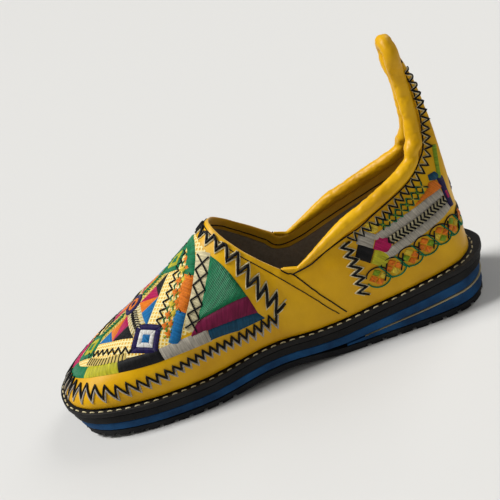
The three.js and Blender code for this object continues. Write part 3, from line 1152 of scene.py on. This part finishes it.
def offsetOpening(inset, skin, tree, keep):
    # the opening's edge moved down one skin of the upper by inset millimetres, where keep takes the station
    mesh = upper.data
    far = mesh.attributes["edgeDistance"].data
    near = {v for p in mesh.polygons if p.material_index == skin for v in p.vertices
            if abs(far[v].value - inset * mm) < 0.9 * mm}
    candidates = pointTree([mesh.vertices[v].co for v in near])
    moved = []
    for point in openingLoop:
        if keep(point.x / mm):
            reach = (candidates.find(point)[0] - point).normalized()
            moved.append(tree.find_nearest(point + reach * inset * mm)[0])
    return moved


def sewSeams():
    work = LineWork()
    throat = offsetOpening(seams["throatInset"], 0, outerSkin, lambda x: x > seams["throatEnd"])
    half = next(i for i in range(len(throat)) if throat[i].y < -1 * mm)
    left, right = bothSides(seams["tail"], 1), bothSides(seams["tail"], -1)
    # the line runs on down the edge of the vamp to the welt, on both sides
    joined = right[::-1] + throat[half:] + throat[:half] + left
    line = alongSkin(joined, outerSkin, seams["radius"])
    work.worldStrand(stitched(line), "black", seams["radius"])
    for flank in (1, -1):
        line = alongSkin(bothSides(seams["vampEdge"], flank), outerSkin, 0.3)
        work.worldStrand(line, "black", 0.42)
    collar = offsetOpening(seams["bindingInset"], 0, outerSkin, lambda x: x <= seams["collarEnd"])
    work.worldStrand(alongSkin(collar, outerSkin, 0.3), "black", 0.4)
    inside = offsetOpening(facing["stitchAt"], 1, innerSkin, lambda x: True)
    work.worldStrand(alongSkin(inside + inside[:1], innerSkin, 0.3), "black", 0.36)
    work.finish("seam_threads")


sewSeams()
print("seams sewn")


# The padded roll round the collar, in millimetres.
binding = {
    "swell": 0.5,  # it stands this much proud of its plain form
    "press": 0.4,  # and its underside this much more, to meet the leather
    "pucker": 0.9,  # depth of the folds across the roll
    "finePucker": 0.5,
    "puckerMm": 6,
    "taper": (-60, -20),  # the roll thins between these stations, and sinks onto the edge
    "thin": 0.88,
    "sink": 0.8,
    "pinch": (92, 2.2, 1.0),  # a fold across the roll where the heel tab begins: height, width, depth
}


def makeBinding():
    # strip of the same glazed leather, wrapped round a cord and puckered across the roll
    mesh = meshFrom(copyOfNode("collar_binding"), "collar_binding")
    obj = finishPiece(mesh, "collar_roll", [makeLeather("glazed yellow binding leather")])
    addSubdivision(obj, 2)
    bakeModifiers(obj)
    edgeTree = pointTree(densePoints(openingLoop, mm))
    scale = 1 / (binding["puckerMm"] * mm)
    start, end = binding["taper"]
    pinchAt, pinchWidth, pinchDepth = binding["pinch"]
    moved = []
    for vertex in obj.data.vertices:
        pucker = binding["pucker"] * max(0, noise.noise(vertex.co * scale))
        fine = noise.noise(vertex.co * scale * 2.6 + Vector((3, 5, 7)))
        pucker += binding["finePucker"] * max(0, fine)
        away = max(0, min(1, (edgeTree.find(vertex.co)[2] / mm - 2) / 2))  # the underside has no folds
        shift = binding["swell"] + binding["press"] * (1 - away) - away * pucker
        above = (vertex.co.z / mm - pinchAt) / pinchWidth
        shift += pinchDepth * (0.7 * math.exp(-(above - 2) ** 2 / 2) - math.exp(-above ** 2))
        place = vertex.co + vertex.normal * shift * mm
        share = max(0, min(1, (place.x / mm - start) / (end - start)))
        rim = edgeTree.find(place)[0]
        seat = rim - outerSkin.find_nearest(rim)[1] * 0.9 * mm - Vector((0, 0, binding["sink"] * mm))
        moved.append(place.lerp(seat, binding["thin"] * share ** 1.2))
    moveVertices(obj.data, moved)
    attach(obj, "root")
    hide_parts("collar_binding")


makeBinding()
print("collar bound")


# The layers of the sole: slot, darker and lighter tone, roughness, pore size in millimetres, and how far
# each edge is rounded.
soleLayers = {
    "outsole": ("outsole_rubber", "#0B0B0D", "#1B1B1E", 0.72, 0.9, 0.3),
    "blue_midsole": ("blue_foam", "#0B3054", "#174E7E", 0.78, 0.7, 0.5),
    "heel_wedge": ("blue_foam", "#0B3054", "#174E7E", 0.78, 0.7, 0.3),
    "wedge_line": ("cork_strip", "#8B7F63", "#AFA17F", 0.85, 0.8, 0.2),
    "black_midsole": ("black_foam", "#0A0A0B", "#1A1918", 0.7, 0.8, 0.5),
    "welt": ("welt_rubber", "#0D0C0C", "#201E1C", 0.6, 1.1, 0.5),
}
sharpEdge = math.radians(38)  # an edge that turns more than this is rounded


def makeLayer(node, slot, dark, light, roughness, poreMm, rounding):
    bm = copyOfNode(node)
    sharp = [edge for edge in bm.edges if edge.is_manifold and edge.calc_face_angle(0) > sharpEdge]
    bmesh.ops.bevel(bm, geom=sharp, offset=rounding * mm, affect="EDGES", segments=2, profile=0.5,
                    material=-1)
    material = makeRubber("cut foam rubber " + node.replace("_", " "), dark, light, roughness, poreMm)
    obj = finishPiece(meshFrom(bm, node), node + "_layer", [material])
    modifier = obj.modifiers.new("normals", "WEIGHTED_NORMAL")
    modifier.keep_sharp = True
    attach(obj, "root")
    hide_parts(node)
    return obj


def makeInsole():
    # a flat footbed with slight waves
    obj = finishPiece(meshFrom(copyOfNode("insole"), "insole"), "insole_suede", [makeSuede()])
    moved = []
    for vertex in obj.data.vertices:
        moved.append(vertex.co + vertex.normal * 0.2 * mm * noise.noise(vertex.co * 60))
    moveVertices(obj.data, moved)
    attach(obj, "root")
    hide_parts("insole")


layers = {node: makeLayer(node, *looks) for node, looks in soleLayers.items()}
makeInsole()
print("sole layers made")


# The cream lockstitch that holds the welt to the upper, in millimetres.
lockstitch = {
    "clearance": 2.1,  # between the thread and the upper
    "pitch": 5.6,
    "length": 3.6,
    "radius": 0.4,
    "rise": 0.2,
    "sink": 0.9,  # how far the ends of a stitch go down from its middle
}


def weltLine():
    # a line round the welt's top, outside the upper
    weltTree = skinTree(layers["welt"].data, 0)
    path = []
    count = len(footLoop)
    for i in range(count):
        heading = footLoop[(i + 1) % count] - footLoop[i - 1]
        outward = Vector((heading.y, -heading.x, 0)).normalized()
        if outward.dot(footLoop[i] - Vector((footLoop[i].x * 0.8, 0, 0))) < 0:
            outward = -outward
        for step in range(40):
            probe = footLoop[i] + outward * step * 0.3 * mm
            hit = weltTree.ray_cast(Vector((probe.x, probe.y, 0.06)), Vector((0, 0, -1)))[0]
            if hit and outerSkin.find_nearest(hit)[3] > lockstitch["clearance"] * mm:
                path.append(hit)
                break
    return smoothLine(path, 0.4 * mm, True)


def sewWelt():
    line = weltLine()
    lengths = lineLengths(line)
    work = LineWork()
    stitches = round(lengths[-1] / (lockstitch["pitch"] * mm))
    parts = 5
    for i in range(stitches):
        points = []
        for k in range(parts + 1):
            share = k / parts
            place = atLength(line, lengths, lengths[-1] * i / stitches + share * lockstitch["length"] * mm)[0]
            sink = (2 * share - 1) ** 4 * lockstitch["sink"]
            points.append(place + Vector((0, 0, (lockstitch["rise"] - sink) * mm)))
        work.worldStrand(points, "cream", lockstitch["radius"])
    obj = work.finish("welt_lockstitch")


sewWelt()
print("welt stitched")


view = {
    "from": Vector((-41.3, 438.1, 251.0)) * mm,  # where the camera stands
    "aim": Vector((-5, 0, 66)) * mm,
    "roll": math.radians(21.4),
    "lens": 59,
}
studio = {
    "paper": "#D2D1CE",
    "size": 40,  # half the width of the floor, in metres
    "backdrop": "#FBFAF7",
    "ambient": 0.15,  # the backdrop's light on the shoe
    "brightness": 0.78,  # and its brightness where it is seen directly
    # where each sun stands, its strength and how wide it is
    "suns": {"key": ((7, -1, 9), 3.6, 22), "fill": ((-1, 8, 6), 0.17, 40), "rim": ((-6, -6, 7), 0.8, 30)},
}


def placeCamera():
    camera = bpy.data.objects.new("camera", bpy.data.cameras.new("camera"))
    bpy.context.scene.collection.objects.link(camera)
    camera.data.lens = view["lens"]
    camera.data.sensor_width = 36
    back = (view["from"] - view["aim"]).normalized()
    right = Vector((0, 0, 1)).cross(back).normalized()
    up = back.cross(right)
    turnedRight = right * math.cos(view["roll"]) - up * math.sin(view["roll"])
    turnedUp = right * math.sin(view["roll"]) + up * math.cos(view["roll"])
    camera.matrix_world = Matrix((turnedRight, turnedUp, back)).transposed().to_4x4()
    camera.location = view["from"]
    bpy.context.scene.camera = camera


def addSun(name, place, strength, spread):
    # a broad soft light from far away in the direction of place
    light = bpy.data.lights.new(name, "SUN")
    light.energy = strength
    light.angle = math.radians(spread)
    obj = bpy.data.objects.new(name, light)
    bpy.context.scene.collection.objects.link(obj)
    obj.rotation_mode = "QUATERNION"
    obj.rotation_quaternion = (-Vector(place)).to_track_quat("-Z", "Y")


def buildStage():
    bm = bmesh.new()
    bmesh.ops.create_grid(bm, x_segments=1, y_segments=1, size=studio["size"])
    floor = finishPiece(meshFrom(bm, "floor"), "floor", [], False)
    material, tree, shader = newMaterial("pale studio paper", 0.9)
    shader.inputs["Base Color"].default_value = srgb(studio["paper"])
    floor.data.materials.append(material)
    world = bpy.data.worlds.new("studio")
    world.use_nodes = True
    tree = world.node_tree
    seen = addNode(tree, "ShaderNodeLightPath").outputs["Is Camera Ray"]
    background = tree.nodes["Background"]
    background.inputs[0].default_value = srgb(studio["backdrop"])
    tree.links.new(mapRange(tree, seen, 0, 1, studio["ambient"], studio["brightness"]), background.inputs[1])
    bpy.context.scene.world = world
    bpy.context.scene.view_settings.view_transform = "Standard"
    for name, (place, strength, spread) in studio["suns"].items():
        addSun(name, place, strength, spread)


buildStage()
placeCamera()
